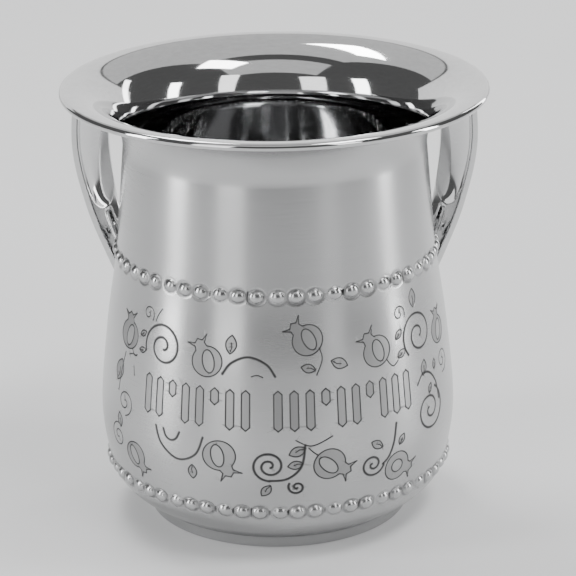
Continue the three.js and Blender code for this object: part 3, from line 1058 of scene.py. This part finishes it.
def satin_steel(looks):
    """Satin steel with fine lines round the cup, faint cloudy wear, dark etched lines and painted
    shade in the creases round the beads.
    """
    nodes = Nodes("satin_steel_look")
    nodes.look("Metallic", 1.0)
    nodes.look("Anisotropic", 0.6)
    nodes.look("Anisotropic Rotation", 0.25)
    tangent = nodes.add("ShaderNodeTangent", direction_type="RADIAL", axis="Z")
    nodes.look("Tangent", tangent.outputs["Tangent"])
    lines = nodes.object_noise(LINE_SCALE, LINE_STRETCH, detail=4.0, roughness=0.7)
    clouds = nodes.object_noise(CLOUD_SCALE, CLOUD_STRETCH, detail=2.0)
    etch, ground = nodes.attribute("etch"), nodes.attribute("ground")
    satin = tuple(looks.satin)
    steel = nodes.mix(nodes.ramp(clouds, -0.4, 1.4), darker(satin, 0.9), satin)
    steel = nodes.mix(nodes.ramp(lines, 0.0, 0.35), steel, darker(satin, 0.75))
    steel = nodes.mix(ground, steel, tuple(looks.ground))
    # The etched colour paints the engraved lines and also the painted shade in the creases round
    # the beads.
    nodes.look("Base Color", nodes.mix(etch, steel, tuple(looks.etched)))
    gloss = nodes.math("ADD", nodes.ramp(lines, -0.05, 0.05), nodes.ramp(clouds, -0.05, 0.05))
    gloss = nodes.math("ADD", gloss, looks.satin_roughness)
    marked = nodes.math("MAXIMUM", etch, nodes.math("MULTIPLY", ground, 0.5))
    nodes.look("Roughness", nodes.math("ADD", gloss, nodes.math("MULTIPLY", marked, 0.3)))
    nodes.bump(lines, *LINE_BUMP)
    return nodes.material


def polished_steel(looks):
    """Mirror-polished steel with faint waviness and hairline wipe marks."""
    nodes = Nodes("polished_steel_look")
    nodes.look("Metallic", 1.0)
    waves = nodes.object_noise(WAVE_SCALE, EVEN, detail=1.5)
    marks = nodes.object_noise(MARK_SCALE, MARK_STRETCH, detail=3.0, roughness=0.65)
    polished = tuple(looks.polished)
    nodes.look("Base Color", nodes.mix(nodes.ramp(marks, -0.2, 0.9), polished,
                                       darker(polished, 0.82)))
    gloss = nodes.math("ADD", nodes.ramp(marks, -0.03, 0.06), looks.polished_roughness)
    nodes.look("Roughness", gloss)
    nodes.bump(waves, *WAVE_BUMP)
    return nodes.material


def floor_material(looks):
    """Plain pale floor with the faintest mottle."""
    nodes = Nodes("pale_floor")
    mottle = nodes.object_noise(MOTTLE_SCALE, EVEN, detail=2.0)
    pale = tuple(looks.floor)
    nodes.look("Base Color", nodes.mix(mottle, pale, darker(pale, 0.97)))
    nodes.look("Roughness", 0.7)
    return nodes.material


def steel_materials(looks):
    """Both steels, made once."""
    found = [bpy.data.materials.get(name) for name in ("satin_steel_look", "polished_steel_look")]
    if all(found):
        return found
    return [satin_steel(looks), polished_steel(looks)]


# Operators

class CUP_OT_body(bpy.types.Operator):
    """Build the spun body with its beads, frieze, lip and foot"""
    bl_idname = "cup.body"
    bl_label = "Cup body"

    def execute(self, context):
        settings = context.scene.washing_cup
        body = build_cup(settings, steel_materials(settings.looks))
        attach(body, "root")
        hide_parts("cup_body")
        return {"FINISHED"}


class CUP_OT_handles(bpy.types.Operator):
    """Build the two dished strap handles"""
    bl_idname = "cup.handles"
    bl_label = "Handles"

    def execute(self, context):
        settings = context.scene.washing_cup
        polished = steel_materials(settings.looks)[POLISHED]
        for name, side in (("left_handle", -1.0), ("right_handle", 1.0)):
            strap = build_handle(name + "_strap", settings, side, [polished])
            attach(strap, "root")
            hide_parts(name)
        return {"FINISHED"}


# Name, azimuth off the front and elevation in degrees, width and height and distance in metres,
# and power in watts
LAMPS = (
    ("left_strip", -74, 10, (0.26, 1.1), 1.15, 10.0),
    ("left_front_softbox", -32, 12, (0.4, 1.1), 1.15, 4.0),
    ("right_front_softbox", 38, 24, (0.26, 0.8), 1.15, 2.2),
    ("right_strip", 86, 8, (0.2, 1.1), 1.15, 8.5),
    ("right_back_strip", 140, 8, (0.12, 1.1), 1.15, 3.0),
    ("left_overhead", -150, 60, (0.34, 0.2), 1.1, 5.0),
    ("right_overhead", 62, 64, (0.42, 0.26), 1.1, 5.0),
    ("back_panel", 180, 15, (2.2, 0.6), 1.15, 6.0),
    ("top_panel", 180, 62, (2.0, 2.0), 1.6, 10.0),
    ("front_panel", 0, 60, (1.7, 0.8), 1.6, 3.4),
)
LIT_POINT = (0.0, 0.0, 0.07)
FLOOR_REACH = 4.0


def soft_light(name, azimuth, elevation, size, reach, power):
    """A rectangular studio light that faces the cup from an azimuth off the front and an
    elevation."""
    target = Vector(LIT_POINT)
    level = reach * math.cos(elevation)
    place = target + Vector((level * math.sin(azimuth), -level * math.cos(azimuth),
                             reach * math.sin(elevation)))
    light = bpy.data.lights.new(name, "AREA")
    light.shape = "RECTANGLE"
    light.size, light.size_y = size
    light.energy = power
    lamp = bpy.data.objects.new(name, light)
    lamp.location = place
    lamp.rotation_euler = (target - place).to_track_quat("-Z", "Y").to_euler()
    bpy.context.scene.collection.objects.link(lamp)


def place_camera(stage):
    """Camera in front of the cup, looking down on it with a slight lean."""
    camera = bpy.data.objects.new("camera", bpy.data.cameras.new("camera"))
    camera.data.sensor_width = 36.0
    camera.data.lens = stage.camera_lens
    camera.data.clip_start = 0.01
    turn = (Matrix.Rotation(-stage.camera_pan, 4, "Z")
            @ Matrix.Rotation(math.pi / 2 - stage.camera_pitch, 4, "X")
            @ Matrix.Rotation(-stage.camera_roll, 4, "Z"))
    camera.matrix_world = Matrix.Translation((0.0, -stage.camera_back, stage.camera_height)) @ turn
    bpy.context.scene.collection.objects.link(camera)
    bpy.context.scene.camera = camera


class CUP_OT_stage(bpy.types.Operator):
    """Build the pale floor, the studio light and the camera"""
    bl_idname = "cup.stage"
    bl_label = "Stage"

    def execute(self, context):
        settings = context.scene.washing_cup
        mesh = bpy.data.meshes.new("floor")
        corners = [(x * FLOOR_REACH, y * FLOOR_REACH, 0.0)
                   for x, y in ((-1, -1), (1, -1), (1, 1), (-1, 1))]
        mesh.from_pydata(corners, [], [(0, 1, 2, 3)])
        mesh.materials.append(floor_material(settings.looks))
        floor = bpy.data.objects.new("floor", mesh)
        context.scene.collection.objects.link(floor)
        world = bpy.data.worlds.new("studio")
        world.use_nodes = True
        background = world.node_tree.nodes["Background"]
        background.inputs["Color"].default_value = (1.0, 1.0, 1.0, 1.0)
        background.inputs["Strength"].default_value = settings.stage.world_light
        context.scene.world = world
        for name, azimuth, elevation, size, reach, power in LAMPS:
            soft_light(name, math.radians(azimuth), math.radians(elevation), size, reach, power)
        place_camera(settings.stage)
        return {"FINISHED"}


class WashingCupSettings(bpy.types.PropertyGroup):
    """Everything that a user would change."""
    cup: bpy.props.PointerProperty(type=CupSizes, name="Body", description="Spun body")
    beads: bpy.props.PointerProperty(type=BeadSizes, name="Beads", description="Bead rows")
    frieze: bpy.props.PointerProperty(type=FriezeSizes, name="Frieze", description="Engraving")
    handle: bpy.props.PointerProperty(type=HandleSizes, name="Handles", description="Straps")
    looks: bpy.props.PointerProperty(type=FinishLooks, name="Finish", description="Steel")
    stage: bpy.props.PointerProperty(type=StageSetup, name="Stage", description="Camera")


class CUP_PT_panel(bpy.types.Panel):
    """Sizes, finishes and the buttons that build each piece"""
    bl_idname = "CUP_PT_panel"
    bl_label = "Washing cup"
    bl_space_type = "VIEW_3D"
    bl_region_type = "UI"
    bl_category = "Washing cup"

    def draw(self, context):
        settings = context.scene.washing_cup
        for title in ("cup", "beads", "frieze", "handle", "looks", "stage"):
            group = getattr(settings, title)
            box = self.layout.box()
            box.label(text=title.capitalize())
            for key in group.__annotations__:
                box.prop(group, key)
        for operator in (CUP_OT_body, CUP_OT_handles, CUP_OT_stage):
            self.layout.operator(operator.bl_idname)


CLASSES = (CupSizes, BeadSizes, FriezeSizes, HandleSizes, FinishLooks, StageSetup,
           WashingCupSettings, CUP_OT_body, CUP_OT_handles, CUP_OT_stage, CUP_PT_panel)


def register():
    """Register every class and the scene's settings."""
    for cls in CLASSES:
        bpy.utils.register_class(cls)
    bpy.types.Scene.washing_cup = bpy.props.PointerProperty(type=WashingCupSettings)


def unregister():
    """Undo register."""
    del bpy.types.Scene.washing_cup
    for cls in reversed(CLASSES):
        bpy.utils.unregister_class(cls)


def main():
    """Build everything in order."""
    register()
    bpy.ops.cup.body()
    bpy.ops.cup.handles()
    bpy.ops.cup.stage()


if __name__ == "__main__":
    main()
